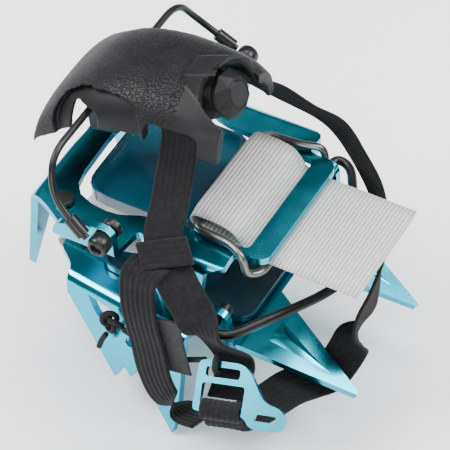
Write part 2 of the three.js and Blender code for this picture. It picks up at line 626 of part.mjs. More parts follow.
add('link_band', linkBand(), GREY_WEB);
add('ankle_strap_top', strap(STRAP_TOP, 8), BLACK_WEB);
add('ankle_strap', strap(STRAP_MAIN, 20), BLACK_WEB);
add('ankle_strap_drop', strap(STRAP_DROP, 22), BLACK_WEB);
add('ankle_strap_loop', strap(STRAP_LOOP, 60), BLACK_WEB);
add('strap_keeper', keeperLoop(), BLACK_WEB);
add('label_tag', webbing(LABEL_RUN, 8, 0.8, 6), LABEL);
add('keeper_cord', cordTube(CORD, 24), BLACK_WEB);
add('cord_tail', cordTube(CORD_TAIL, 6), BLACK_WEB);
add('cord_knot', knot(), BLACK_WEB);
add('cord_hitch', cordHitch(), BLACK_WEB);
add('hook_buckle', hookBuckle(), ANODISED);

// The origin goes to the bottom centre of the whole crampon.
const whole = new THREE.Box3().setFromObject(crampon);
const middle = whole.getCenter(new THREE.Vector3());
crampon.position.set(-middle.x, -middle.y, -whole.min.z);

export default crampon;
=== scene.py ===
"""A ski-touring crampon, packed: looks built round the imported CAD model."""
import json
import math

import bmesh
import bpy
import numpy as np
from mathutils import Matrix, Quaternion, Vector


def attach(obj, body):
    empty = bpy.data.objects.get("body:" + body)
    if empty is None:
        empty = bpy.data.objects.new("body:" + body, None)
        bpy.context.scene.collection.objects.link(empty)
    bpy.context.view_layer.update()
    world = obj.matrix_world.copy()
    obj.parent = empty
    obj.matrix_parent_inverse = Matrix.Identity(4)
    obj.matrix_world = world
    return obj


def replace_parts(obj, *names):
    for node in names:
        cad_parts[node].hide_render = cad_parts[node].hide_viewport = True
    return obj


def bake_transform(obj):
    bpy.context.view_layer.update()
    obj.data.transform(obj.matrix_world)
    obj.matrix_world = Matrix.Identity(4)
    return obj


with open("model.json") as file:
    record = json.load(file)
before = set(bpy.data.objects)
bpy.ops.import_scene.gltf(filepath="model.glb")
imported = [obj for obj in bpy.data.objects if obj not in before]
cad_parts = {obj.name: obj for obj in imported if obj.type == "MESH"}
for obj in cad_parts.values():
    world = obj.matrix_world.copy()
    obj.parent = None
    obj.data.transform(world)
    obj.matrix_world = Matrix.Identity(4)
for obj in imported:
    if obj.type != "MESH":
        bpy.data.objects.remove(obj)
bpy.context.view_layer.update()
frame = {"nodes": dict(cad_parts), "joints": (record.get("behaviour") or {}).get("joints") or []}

MM = 0.001
BAND_WIDTH, BAND_THICK = 38, 1.6
STRAP_WIDTH, STRAP_THICK = 12, 1.2
RIB_PITCH = 1.2  # cross ribs of the linking band
STRAP_GROOVES = 7  # long grooves of the ankle strap
HEEL_WIRE, TOE_WIRE, RING_WIRE, CORD_RADIUS = 1.1, 1.5, 1.2, 0.9
KNOB_TILT = math.radians(24)
SHELL_WALL = 3

# The design frame is in millimetres round the middle of the heel plate's front bar.
JOINTS = {joint["name"]: joint for joint in frame["joints"]}
HEEL_PIVOT = (-40, 0, 7)
ORIGIN = Vector(JOINTS["heel_bail_swing"]["pos_m"]) - Vector(HEEL_PIVOT) * MM


def place(point):
    """A point of the design frame in the row frame, in metres."""
    return Vector(point) * MM + ORIGIN


# ---------------------------------------------------------------- camera
VIEW_AZIMUTH, VIEW_ELEVATION, VIEW_ROLL = math.radians(32.5), math.radians(47.5), math.radians(-3.9)
PIXELS_PER_MM = 3.3
CAMERA_DISTANCE = 0.875
AIM = (-24.5, 0.2, -19.6)
FRAME_PIXELS, SENSOR = 450, 36


def from_side(azimuth, elevation):
    """The direction towards a viewer at these angles, in radians."""
    level = math.cos(elevation)
    return Vector((math.sin(azimuth) * level, -math.cos(azimuth) * level, math.sin(elevation)))


def make_camera():
    camera = bpy.data.objects.new("camera", bpy.data.cameras.new("camera"))
    bpy.context.scene.collection.objects.link(camera)
    back = from_side(VIEW_AZIMUTH, VIEW_ELEVATION)
    camera.location = place(AIM) + back * CAMERA_DISTANCE
    turned = back.to_track_quat("Z", "Y") @ Quaternion((0, 0, 1), VIEW_ROLL)
    camera.rotation_euler = turned.to_euler()
    camera.data.sensor_width = SENSOR
    camera.data.lens = PIXELS_PER_MM * CAMERA_DISTANCE / MM / FRAME_PIXELS * SENSOR
    camera.data.clip_end = 20
    bpy.context.scene.camera = camera


make_camera()


# ---------------------------------------------------------------- material helpers
def new_material(name, color, roughness, metallic=0.0, **sockets):
    material = bpy.data.materials.new(name)
    material.use_nodes = True
    shader = material.node_tree.nodes["Principled BSDF"]
    shader.inputs["Base Color"].default_value = (*color, 1)
    shader.inputs["Roughness"].default_value = roughness
    shader.inputs["Metallic"].default_value = metallic
    for socket, value in sockets.items():
        shader.inputs[socket.replace("_", " ")].default_value = value
    return material


def node(material, kind, **values):
    made = material.node_tree.nodes.new(kind)
    for key, value in values.items():
        if hasattr(made, key):
            setattr(made, key, value)
        else:
            made.inputs[key.replace("_", " ")].default_value = value
    return made


def link(material, source, target):
    material.node_tree.links.new(source, target)


def object_coordinates(material, stretch=(1, 1, 1)):
    coordinates = node(material, "ShaderNodeTexCoord")
    mapping = node(material, "ShaderNodeMapping")
    mapping.inputs["Scale"].default_value = stretch
    link(material, coordinates.outputs["Object"], mapping.inputs["Vector"])
    return mapping.outputs["Vector"]


def noise(material, scale, detail=3.0, vector=None):
    made = node(material, "ShaderNodeTexNoise", Scale=scale, Detail=detail)
    link(material, vector or object_coordinates(material), made.inputs["Vector"])
    return made.outputs["Fac"]


def vary(material, value, socket, low, high):
    """Drives a number of the shader from a 0 to 1 pattern."""
    spread = node(material, "ShaderNodeMapRange")
    spread.inputs["To Min"].default_value = low
    spread.inputs["To Max"].default_value = high
    link(material, value, spread.inputs["Value"])
    shader = material.node_tree.nodes["Principled BSDF"]
    link(material, spread.outputs["Result"], shader.inputs[socket])


def tint(material, value, low, high, start=0.3, end=0.7):
    """Colours the shader between two colours by a 0 to 1 pattern."""
    ramp = node(material, "ShaderNodeValToRGB")
    ramp.color_ramp.elements[0].position, ramp.color_ramp.elements[1].position = start, end
    ramp.color_ramp.elements[0].color, ramp.color_ramp.elements[1].color = (*low, 1), (*high, 1)
    link(material, value, ramp.inputs["Fac"])
    shader = material.node_tree.nodes["Principled BSDF"]
    link(material, ramp.outputs["Color"], shader.inputs["Base Color"])


def bump(material, height, strength, distance):
    made = node(material, "ShaderNodeBump", Strength=strength, Distance=distance)
    link(material, height, made.inputs["Height"])
    shader = material.node_tree.nodes["Principled BSDF"]
    old = shader.inputs["Normal"].links
    if old:
        link(material, old[0].from_socket, made.inputs["Normal"])
    link(material, made.outputs["Normal"], shader.inputs["Normal"])


# ---------------------------------------------------------------- materials
def anodised(name, color, roughness):
    """Anodised aluminium: tinted metal with a fine rolled grain and handling marks."""
    material = new_material(name, color, roughness, 1.0)
    grain = noise(material, 1500, 3, object_coordinates(material, (1, 2, 2)))
    vary(material, noise(material, 160, 4), "Roughness", roughness - 0.04, roughness + 0.07)
    tint(material, noise(material, 45), [c * 0.86 for c in color], color)
    bump(material, grain, 0.06, 0.00003)
    return material


def moulded(name, grain_depth):
    """Black moulded plastic with a fine crazed grain."""
    material = new_material(name, (0.006, 0.006, 0.007), 0.5, Specular_IOR_Level=0.2)
    warp = node(material, "ShaderNodeTexNoise", Scale=700, Detail=2)
    link(material, object_coordinates(material), warp.inputs["Vector"])
    mixed = node(material, "ShaderNodeVectorMath", operation="MULTIPLY_ADD")
    link(material, warp.outputs["Color"], mixed.inputs[0])
    mixed.inputs[1].default_value = (0.0012, 0.0012, 0.0012)
    link(material, object_coordinates(material), mixed.inputs[2])
    cells = node(material, "ShaderNodeTexVoronoi", feature="DISTANCE_TO_EDGE", Scale=850)
    link(material, mixed.outputs["Vector"], cells.inputs["Vector"])
    clamp = node(material, "ShaderNodeMapRange")
    clamp.inputs["From Max"].default_value = 0.12
    link(material, cells.outputs["Distance"], clamp.inputs["Value"])
    bump(material, clamp.outputs["Result"], grain_depth, 0.0002)
    tint(material, noise(material, 120, 5), (0.004, 0.004, 0.0044), (0.009, 0.009, 0.01))
    vary(material, noise(material, 90, 4), "Roughness", 0.38, 0.58)
    return material


def webbing_material(name, dark, light, pitch, painted_valley_shade=None):
    """Woven nylon: threads run along and across the webbing, from its weave map in millimetres.
    The last argument is the map's axis across the ribs and their pitch; the colour between the ribs is darkened as
    painted shade."""
    material = new_material(name, light, 0.85, Sheen_Weight=0.05, Sheen_Roughness=0.5, Specular_IOR_Level=0.15)
    weave = node(material, "ShaderNodeUVMap", uv_map="weave")
    split = node(material, "ShaderNodeSeparateXYZ")
    link(material, weave.outputs["UV"], split.inputs["Vector"])
    waves = []
    for axis in ("X", "Y"):
        turned = node(material, "ShaderNodeMath", operation="MULTIPLY")
        turned.inputs[1].default_value = 2 * math.pi / pitch
        link(material, split.outputs[axis], turned.inputs[0])
        wave = node(material, "ShaderNodeMath", operation="SINE")
        link(material, turned.outputs["Value"], wave.inputs[0])
        waves.append(wave.outputs["Value"])
    crossed = node(material, "ShaderNodeMath", operation="MULTIPLY_ADD")
    link(material, waves[0], crossed.inputs[0])
    link(material, waves[1], crossed.inputs[1])
    crossed.inputs[2].default_value = 0.5
    bump(material, crossed.outputs["Value"], 0.35, 0.00012)
    tint(material, noise(material, 700, 4), dark, light, 0.25, 0.75)
    if painted_valley_shade:
        # Painted shade: the base colour darkens to 0.3 between the ribs.
        axis, spacing = painted_valley_shade
        phase = node(material, "ShaderNodeMath", operation="MULTIPLY")
        phase.inputs[1].default_value = math.pi / spacing
        link(material, split.outputs[axis], phase.inputs[0])
        crest = node(material, "ShaderNodeMath", operation="COSINE")
        link(material, phase.outputs["Value"], crest.inputs[0])
        depth = node(material, "ShaderNodeMath", operation="ABSOLUTE")
        link(material, crest.outputs["Value"], depth.inputs[0])
        shade = node(material, "ShaderNodeMapRange")
        shade.inputs["From Max"].default_value = 0.55
        shade.inputs["To Min"].default_value = 0.3
        link(material, depth.outputs["Value"], shade.inputs["Value"])
        shader = material.node_tree.nodes["Principled BSDF"]
        shaded = node(material, "ShaderNodeVectorMath", operation="SCALE")
        link(material, shader.inputs["Base Color"].links[0].from_socket, shaded.inputs[0])
        link(material, shade.outputs["Result"], shaded.inputs["Scale"])
        link(material, shaded.outputs["Vector"], shader.inputs["Base Color"])
    return material


def film(name):
    """Smoke-teal translucent film of the anti-balling plates."""
    material = new_material(
        name, (0.01, 0.06, 0.1), 0.12, Transmission_Weight=0.5, IOR=1.4, Coat_Weight=0.5, Coat_Roughness=0.1,
    )
    tint(material, noise(material, 60, 3), (0.006, 0.05, 0.08), (0.014, 0.09, 0.14))
    vary(material, noise(material, 200, 3), "Roughness", 0.12, 0.24)
    return material


def coated_wire(name, color, metallic, roughness):
    material = new_material(name, color, roughness, metallic, Specular_IOR_Level=0.25)
    drawn = noise(material, 500, 4)
    vary(material, drawn, "Roughness", roughness - 0.08, roughness + 0.12)
    tint(material, noise(material, 150, 4), [c * 0.75 for c in color], [min(1, c * 1.25) for c in color])
    bump(material, drawn, 0.12, 0.0001)
    return material


CORD_NYLON = coated_wire("cord_nylon", (0.006, 0.006, 0.0065), 0.0, 0.75)
ALUMINIUM = anodised("teal_anodised", (0.03, 0.43, 0.57), 0.2)
# Painted highlight: the bevelled edges of the plates and hook buckle get a lighter teal than the faces.
ALUMINIUM_EDGE_HIGHLIGHT = anodised("teal_anodised_painted_edge_highlight", (0.22, 0.7, 0.8), 0.3)
PLASTIC_GRAIN = moulded("black_moulded_grain", 1)
PLASTIC = moulded("black_moulded", 0.12)
BLACK_WEBBING = webbing_material("black_webbing", (0.003, 0.003, 0.0034), (0.009, 0.009, 0.01), 0.5)
# The grey band's colour is darkened between its cross ribs as painted shade.
GREY_WEBBING = webbing_material("grey_webbing", (0.4, 0.41, 0.4), (0.52, 0.53, 0.52), 0.6, ("Y", RIB_PITCH))
LABEL = webbing_material("label_cloth", (0.02, 0.0205, 0.021), (0.036, 0.0365, 0.038), 0.35)
FILM = film("teal_film")
BLACK_WIRE = coated_wire("black_coated_steel", (0.007, 0.007, 0.0075), 0.0, 0.3)
STEEL = coated_wire("ring_steel", (0.17, 0.17, 0.165), 1.0, 0.34)
THREAD = new_material("stitch_thread", (0.035, 0.035, 0.037), 0.7, Sheen_Weight=0.3)
tint(THREAD, noise(THREAD, 900), (0.02, 0.02, 0.021), (0.06, 0.06, 0.063))


# ---------------------------------------------------------------- mesh helpers
def new_object(name, vertices, faces, material, smooth=True):
    mesh = bpy.data.meshes.new(name)
    mesh.from_pydata([tuple(v) for v in vertices], [], faces)
    mesh.validate()
    outward = bmesh.new()
    outward.from_mesh(mesh)
    bmesh.ops.recalc_face_normals(outward, faces=outward.faces)
    outward.to_mesh(mesh)
    outward.free()
    made = bpy.data.objects.new(name, mesh)
    bpy.context.scene.collection.objects.link(made)
    mesh.materials.append(material)
    if smooth:
        mesh.shade_smooth()
    return made


def applied(thing):
    """Bakes the modifiers of an object into its mesh."""
    bpy.context.view_layer.update()
    shaped = thing.evaluated_get(bpy.context.evaluated_depsgraph_get())
    mesh = bpy.data.meshes.new_from_object(shaped)
    thing.modifiers.clear()
    thing.data = mesh
    return thing


def catmull_rom(points, t):
    """Centripetal Catmull-Rom through points, the same curve as the CAD's."""
    points = [np.array(p, float) for p in points]
    along = t * (len(points) - 1)
    i = min(int(along), len(points) - 2)
    share = along - i
    before = points[i - 1] if i > 0 else 2 * points[0] - points[1]
    after = points[i + 2] if i + 2 < len(points) else 2 * points[-1] - points[-2]
    p = [before, points[i], points[i + 1], after]
    d = [max(np.sum((p[k + 1] - p[k]) ** 2) ** 0.25, 1e-4) for k in range(3)]
    m1 = ((p[1] - p[0]) / d[0] - (p[2] - p[0]) / (d[0] + d[1]) + (p[2] - p[1]) / d[1]) * d[1]
    m2 = ((p[2] - p[1]) / d[1] - (p[3] - p[1]) / (d[1] + d[2]) + (p[3] - p[2]) / d[2]) * d[1]
    s2, s3 = share * share, share ** 3
    return (2 * s3 - 3 * s2 + 1) * p[1] + (s3 - 2 * s2 + share) * m1 + (3 * s2 - 2 * s3) * p[2] + (s3 - s2) * m2


EDGE_ROUND, EDGE_THINNING = 0.5, 0.85  # webbing edges: width that rounds off, and how much of the thickness goes


def ribbon(name, stations, width, thick, steps, material, relief, across_steps=24):
    """Webbing through stations [x, y, z, across x, y, z]; relief(across mm, along mm) raises its two faces."""
    spots, across = [s[:3] for s in stations], [np.array(s[3:]) / np.linalg.norm(s[3:]) for s in stations]
    fine = np.linspace(0, 1, 1201)
    rough = np.array([catmull_rom(spots, t) for t in fine])
    rough_run = np.concatenate([[0], np.cumsum(np.linalg.norm(np.diff(rough, axis=0), axis=1))])
    run = np.linspace(0, rough_run[-1], steps + 1)
    shares = np.interp(run, rough_run, fine)
    centre = np.array([catmull_rom(spots, t) for t in shares])
    vertices, weave = [], []
    for k in range(steps + 1):
        tangent = centre[min(k + 1, steps)] - centre[max(k - 1, 0)]
        tangent /= np.linalg.norm(tangent)
        side = catmull_rom(across, shares[k])
        side -= tangent * side.dot(tangent)
        side /= np.linalg.norm(side)
        out = np.cross(tangent, side)
        for face in (1, -1):
            for j in range(across_steps + 1):
                x = (j / across_steps - 0.5) * width * face
                near_edge = max(0, abs(x) - (width / 2 - EDGE_ROUND)) / EDGE_ROUND
                half = thick / 2 * math.sqrt(max(0, 1 - near_edge ** 2 * EDGE_THINNING))
                lift = half + relief(x, run[k]) * (1 - near_edge)
                vertices.append(place(centre[k] + side * x + out * face * lift))
                weave.append((x, run[k]))
    ring = 2 * (across_steps + 1)
    faces = []
    for k in range(steps):
        for j in range(ring):
            a, b = k * ring + j, k * ring + (j + 1) % ring
            faces.append((a, b, b + ring, a + ring))
    faces.append(tuple(range(ring - 1, -1, -1)))
    faces.append(tuple(range(steps * ring, (steps + 1) * ring)))
    made = new_object(name, vertices, faces, material)
    uv = made.data.uv_layers.new(name="weave")
    for loop in made.data.loops:
        uv.data[loop.index].uv = weave[loop.vertex_index]
    return made


def long_grooves(x, run):
    """Ankle strap: shallow grooves along its length."""
    return 0.09 * math.cos(2 * math.pi * x / (STRAP_WIDTH / STRAP_GROOVES))


def cross_ribs(x, run):
    """Linking band: round ribs across its width."""
    return 0.24 * abs(math.cos(math.pi * run / RIB_PITCH)) - 0.12


def smooth_route(points, bend, bend_steps=8):
    """A chain of points whose corners are rounded over the given length, as the CAD's wires are."""
    points = [np.array(p, float) for p in points]
    route = [points[0]]
    for before, corner, after in zip(points, points[1:], points[2:]):
        ends = []
        for other in (before, after):
            reach = other - corner
            length = np.linalg.norm(reach)
            ends.append(corner + reach / length * min(bend, length * 0.45))
        for k in range(bend_steps + 1):
            t = k / bend_steps
            route.append((1 - t) ** 2 * ends[0] + 2 * t * (1 - t) * corner + t ** 2 * ends[1])
    return route + [points[-1]]


def wire(name, route, radius, material, closed=False):
    """A round wire as a curve with thickness."""
    curve = bpy.data.curves.new(name, "CURVE")
    curve.dimensions = "3D"
    curve.bevel_depth = radius * MM
    curve.bevel_resolution = 5
    curve.use_fill_caps = True
    spline = curve.splines.new("POLY")
    spline.points.add(len(route) - 1)
    for target, point in zip(spline.points, route):
        target.co = (*place(point), 1)
    spline.use_cyclic_u = closed
    spline.use_smooth = True
    made = bpy.data.objects.new(name, curve)
    bpy.context.scene.collection.objects.link(made)
    curve.materials.append(material)
    return made


def mirrored(points):
    return [(x, -y, z) for x, y, z in reversed(points)]


def finish_node(name, material, edge=None, bevel=0.3, segments=2, angle=35):
    """Gives a CAD node its material, with rounded edges that may have a material of their own, such as a lighter
    colour painted on as a highlight.
    """
    thing = frame["nodes"][name]
    thing.data.materials.clear()
    thing.data.materials.append(material)
    if edge:
        thing.data.materials.append(edge)
    for face in thing.data.polygons:
        face.material_index = 0
    thing.data.shade_smooth()
    weld = thing.modifiers.new("weld", "WELD")
    weld.merge_threshold = 1e-6
    flat = thing.modifiers.new("flat", "DECIMATE")
    flat.decimate_type = "DISSOLVE"
    flat.angle_limit = math.radians(0.6)
    rounded = thing.modifiers.new("rounded", "BEVEL")
    rounded.width = bevel * MM
    rounded.segments = segments
    rounded.angle_limit = math.radians(angle)
    rounded.miter_outer = "MITER_ARC"
    if edge:
        rounded.material = 1
    thing.modifiers.new("normals", "WEIGHTED_NORMAL").keep_sharp = False


# ---------------------------------------------------------------- plates and hardware
for plate in ("heel_frame", "front_frame"):
    finish_node(plate, ALUMINIUM, ALUMINIUM_EDGE_HIGHLIGHT, 0.35)
finish_node("hook_buckle", ALUMINIUM, ALUMINIUM_EDGE_HIGHLIGHT, 0.75, 4)
for tray in ("heel_antiball_tray", "front_antiball_plate"):
    finish_node(tray, FILM, None, 0.3, 3, 30)
for hand in ("left", "right"):
    finish_node(f"rear_stud_{hand}", BLACK_WIRE, None, 0.5, 3)
    finish_node(f"bail_sleeve_{hand}", BLACK_WIRE, None, 0.3)
    finish_node(f"toe_collar_{hand}", BLACK_WIRE, None, 0.3)
finish_node("throttle_carriage", PLASTIC, None, 0.6, 3)
finish_node("adjuster_screw", STEEL, None, 0.2)

# ---------------------------------------------------------------- heel pivots
# Distance from the crampon's middle and radius, from the inner head out to the socket in the button.
PIVOT_PROFILE = [
    (35.2, 2.6), (35.6, 3.1), (37.5, 3.1), (37.8, 2.9), (37.8, 1.45), (41.5, 1.45), (41.5, 3.1), (41.8, 3.35),
    (44.8, 3.35), (45.6, 3), (46, 2.5), (46, 2), (45.8, 1.8), (44.9, 1.7),
]
PIVOT_SIDES = 32


def make_pivot(name, hand):
    middle_x, _, middle_z = HEEL_PIVOT
    vertices = []
    for reach, radius in PIVOT_PROFILE:
        for k in range(PIVOT_SIDES):
            angle = 2 * math.pi * k / PIVOT_SIDES
            vertices.append(place((
                middle_x + radius * math.cos(angle), hand * reach, middle_z + radius * math.sin(angle),
            )))
    faces = []
    for row in range(len(PIVOT_PROFILE) - 1):
        for k in range(PIVOT_SIDES):
            a, b = row * PIVOT_SIDES + k, row * PIVOT_SIDES + (k + 1) % PIVOT_SIDES
            faces.append((a, b, b + PIVOT_SIDES, a + PIVOT_SIDES))
    faces.append(tuple(range(PIVOT_SIDES)))
    faces.append(tuple(range(len(vertices) - PIVOT_SIDES, len(vertices))))
    made = new_object(name, vertices, faces, BLACK_WIRE)
    made.data.set_sharp_from_angle(angle=math.radians(40))
    return made


for side_name, hand in (("left", 1), ("right", -1)):
    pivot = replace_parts(make_pivot(f"pivot_{side_name}", hand), f"heel_pivot_{side_name}")
    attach(pivot, "heel_bail")

# ---------------------------------------------------------------- ridges of the front points
BLADE_SLOPE = math.radians(26)
BLADE_START, BLADE_FALL = (-3, -31), math.tan(BLADE_SLOPE)
RIDGE_FOOT = [(1, 11.5), (0.2, 19.5), (1, 27), (29, 20.4), (29, 19.4)]  # seen from above
RIDGE_TOP = [(6, 19.3), (27, 19.9)]
RIDGE_HEIGHT, RIDGE_TIP_HEIGHT, RIDGE_SUNK = 1.5, 0.2, 0.6


def on_blade(x, y, height):
    """A point above the sloping face of a front point."""
    return place((
        x + height * math.sin(BLADE_SLOPE), y,
        BLADE_START[1] - (x - BLADE_START[0]) * BLADE_FALL + height * math.cos(BLADE_SLOPE),
    ))


for side_name, hand in (("left", 1), ("right", -1)):
    corners = [on_blade(x, hand * y, -RIDGE_SUNK) for x, y in RIDGE_FOOT]
    corners += [on_blade(x, hand * y, h) for (x, y), h in zip(RIDGE_TOP, (RIDGE_HEIGHT, RIDGE_TIP_HEIGHT))]
    sides = [(0, 1, 5), (1, 2, 5), (2, 3, 6, 5), (3, 4, 6), (4, 0, 5, 6), (0, 4, 3, 2, 1)]
    ridge = new_object(f"point_ridge_{side_name}", corners, sides, ALUMINIUM, False)
    soft = ridge.modifiers.new("rounded", "BEVEL")
    soft.width, soft.segments = 0.35 * MM, 3
    applied(ridge).data.shade_smooth()
    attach(ridge, "frame")


# ---------------------------------------------------------------- linking band
BAND_RUN = [
    (31, -4.4), (14, -4.3), (2, -4.2), (-3.4, -4), (-6.2, -2.2), (-8, 0.6), (-10, 3), (-14, 4.3),
    (-20, 4.7), (-22.8, 4.2), (-24, 2.6), (-23.4, 0.7), (-21.5, -0.6), (-18, -1.5), (-14, -3.2),
    (-11.5, -7), (-13, -11.5), (-20, -15), (-34, -20), (-50, -25), (-60, -27.4), (-66, -29.2),
    (-70.2, -29.7), (-72.6, -30.7), (-73.3, -32.4), (-72.4, -34.2), (-70, -34.9), (-64, -35.1), (-56, -35.1),
]
band = ribbon(
    "band", [(x, 0, z, 0, 1, 0) for x, z in BAND_RUN], BAND_WIDTH, BAND_THICK - 0.2, 1900, GREY_WEBBING,
    cross_ribs, 8,
)
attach(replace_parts(band, "link_band"), "frame")


# ---------------------------------------------------------------- hook buckle's own frame
def unit(x, y, z):
    return Vector((x, y, z)).normalized()


BUCKLE_ALONG = unit(0.97, 0.2, 0.12)
steep = Vector((-0.25, 0.75, 0.6))
BUCKLE_UP = (steep - BUCKLE_ALONG * steep.dot(BUCKLE_ALONG)).normalized()
BUCKLE_OUT = BUCKLE_ALONG.cross(BUCKLE_UP)
BUCKLE_CENTRE = Vector((4.4, -52, -26.7))
BUCKLE_THICK, LOWER_BAR, CORD_BAR = 2.4, -5.2, 8.1


def on_buckle(along, up, out):
    return tuple(BUCKLE_CENTRE + BUCKLE_ALONG * along + BUCKLE_UP * up + BUCKLE_OUT * out)


def strap_at_buckle(up, out):
    return (*on_buckle(0, up, out), *BUCKLE_ALONG)


# ---------------------------------------------------------------- ankle strap
STRAP_TOP = [
    (-29, -14, 33, 1, 0, 0), (-28.5, -15, 28, 1, 0, 0), (-28, -18.5, 22, 1, 0, 0), (-27, -23, 17, 1, 0, 0),
    (-26, -27, 13.4, 1, 0, 0),
]
STRAP_MAIN = [
    (-25, -32.5, 9, 1, 0, 0), (-22, -37, 5, 1, 0, -0.2), (-16, -41, 0, 1, 0, -0.5),
    (-10, -43.5, -6, 0.9, 0, -0.5), (-5, -45.5, -12, 0.9, 0, -0.4),
    strap_at_buckle(9.5, -6.4), strap_at_buckle(3, -5.6), strap_at_buckle(-1.4, -3.2),
]
STRAP_DROP = [
    (-23.5, -36.5, 0.8, 1, 0, 0), (-25, -40.5, 2.6, 1, 0, 0), (-26.5, -44, 1, 1, 0, 0),
    (-27, -45.7, -4, 1, 0, 0), (-25.5, -48, -12, 1, 0, 0), (-23, -49, -24, 1, 0, 0),
    (-20.5, -50, -36, 1, 0, 0.1), (-17, -50.5, -42.5, 0.8, 0, 0.6), (-11, -51, -45, 0.1, -0.9, 0.3),
    (-3, -52, -43, 0.1, -0.9, 0.3),
]
WRAP_SLACK = 0.8
WRAP_RADIUS = BUCKLE_THICK / 2 + WRAP_SLACK + STRAP_THICK / 2
WRAP = []
for turn in range(7):
    lap = math.radians(-130 + turn * 230 / 6)
    WRAP.append(strap_at_buckle(LOWER_BAR + WRAP_RADIUS * math.sin(lap), WRAP_RADIUS * math.cos(lap)))
STRAP_LOOP = [
    (-28, 13, 35, 1, 0, 0), (-26.5, 15.5, 30.5, 1, 0, 0.1), (-20, 22.5, 22, 1, 0, 0.3),
    (-11, 27, 14, 0.9, -0.2, 0.4), (-2, 30.5, 7, 0.7, -0.3, 0.7),
    (6, 29.5, -2, 0.5, -0.3, 0.8), (14, 25.6, -10, 0.4, -0.2, 0.9), (20.4, 17.6, -14, 0.3, -0.1, 1),
    (25.7, 6.6, -16, 0.2, 0, 1), (27, -2, -23, 0.1, 0, 1), (25, -8, -33, 0.3, 0.1, 1),
    (22.5, -11.5, -42, 0.8, 0.3, 0.3), (19.5, -16, -47.8, 0.9, -0.2, -0.44), (16, -22, -47, 0.9, -0.2, -0.44),
    (13, -28.5, -45, 0.9, -0.1, -0.44), (10.5, -37, -43.5, 0.9, 0, -0.35), strap_at_buckle(-9.5, -6), *WRAP,
]


def strap(name, stations, steps):
    return ribbon(name, stations, STRAP_WIDTH, STRAP_THICK - 0.1, steps, BLACK_WEBBING, long_grooves, 48)


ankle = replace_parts(strap("ankle", STRAP_TOP + STRAP_MAIN, 130), "ankle_strap", "ankle_strap_top")
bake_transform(ankle)
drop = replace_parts(strap("drop", STRAP_DROP, 90), "ankle_strap_drop")
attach(drop, "frame")
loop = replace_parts(strap("loop", STRAP_LOOP, 280), "ankle_strap_loop")
# The bend's start and end share one y, so that the loop's far run at the buckle stays past the end.
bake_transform(loop)


# ---------------------------------------------------------------- wires
def legs(points):
    return [*points, *mirrored(points)]


BAIL_END = (-43.9, 44.2, 8.2)
bail = wire(
    "bail", smooth_route(legs([BAIL_END, (-56, 42, 17.5), (-59, 36, 28)]), 7), HEEL_WIRE, BLACK_WIRE,
)
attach(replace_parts(bail, "heel_bail_wire"), "heel_bail")
TOE_RUN = [
    (-7.5, 29, -18.5), (-7.5, 39.5, -18.5), (-1.5, 38.5, -19), (6, 26, -19.5), (14.5, 12.5, -19.5), (18, 4, -19.5),
]
toe = wire("toe", smooth_route(legs(TOE_RUN), 5), TOE_WIRE, BLACK_WIRE)
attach(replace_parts(toe, "toe_bail_wire"), "toe_bail")
RING_RUN = [(-21.5, 21.4, 2.2), (-8.8, 22.4, 2.2), (-3.4, 24.8, 1.6), (-2.4, 24.8, -5.6), (0.5, 21, -7.4)]
whole_ring = legs(RING_RUN)
ring_route = smooth_route([whole_ring[-1], *whole_ring, whole_ring[0]], 3)[1:-1]
ring = wire("ring", ring_route, RING_WIRE, STEEL, closed=True)
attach(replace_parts(ring, "ring_buckle"), "frame")

# ---------------------------------------------------------------- keeper cord
KNOT_CENTRE = (-42.4, -38.8, -34)
CORD = [
    (-37.8, -39.5, -34.2), (-34, -40.3, -34.4), (-28, -41.5, -34), (-22, -42.8, -33), (-16, -44, -31),
    (-10, -44.6, -27.5), (-5.5, -45.4, -24),
]
CORD_TAIL = [(-43.8, -40.4, -38.6), (-45.4, -40.6, -41.8), (-46.7, -40.8, -45.5)]
CORD_THREADS = 7


def braid_cord(name, route, radius, closed=False):
    """A cord whose braid shows as two crossing sets of ridges."""
    route = [np.array(p, float) for p in route]
    count, sides = len(route), 28
    run, side = 0.0, None
    vertices, faces = [], []
    for k in range(count):
        before = route[k - 1] if k or closed else route[0]
        after = route[(k + 1) % count] if k < count - 1 or closed else route[-1]
        tangent = (after - before) / np.linalg.norm(after - before)
        if side is None:
            side = np.cross(tangent, (0.3, 0.2, 1))
        side = side - tangent * side.dot(tangent)
        side /= np.linalg.norm(side)
        up = np.cross(tangent, side)
        run += np.linalg.norm(route[k] - route[k - 1]) if k else 0
        for j in range(sides):
            angle = 2 * math.pi * j / sides
            lay = run / radius * 0.9
            ridge = abs(math.sin(CORD_THREADS / 2 * (angle + lay))) * abs(math.sin(CORD_THREADS / 2 * (angle - lay)))
            size = radius * (0.93 + 0.07 * ridge)
            vertices.append(place(route[k] + (side * math.cos(angle) + up * math.sin(angle)) * size))
    for k in range(count if closed else count - 1):
        for j in range(sides):
            a, b = k * sides + j, k * sides + (j + 1) % sides
            c = (k + 1) % count * sides
            faces.append((a, b, c + (j + 1) % sides, c + j))
    if not closed:
        faces.append(tuple(range(sides - 1, -1, -1)))
        faces.append(tuple(range((count - 1) * sides, count * sides)))
    return new_object(name, vertices, faces, CORD_NYLON)


def curve_points(points, count):
    return [catmull_rom(points, k / count) for k in range(count + 1)]


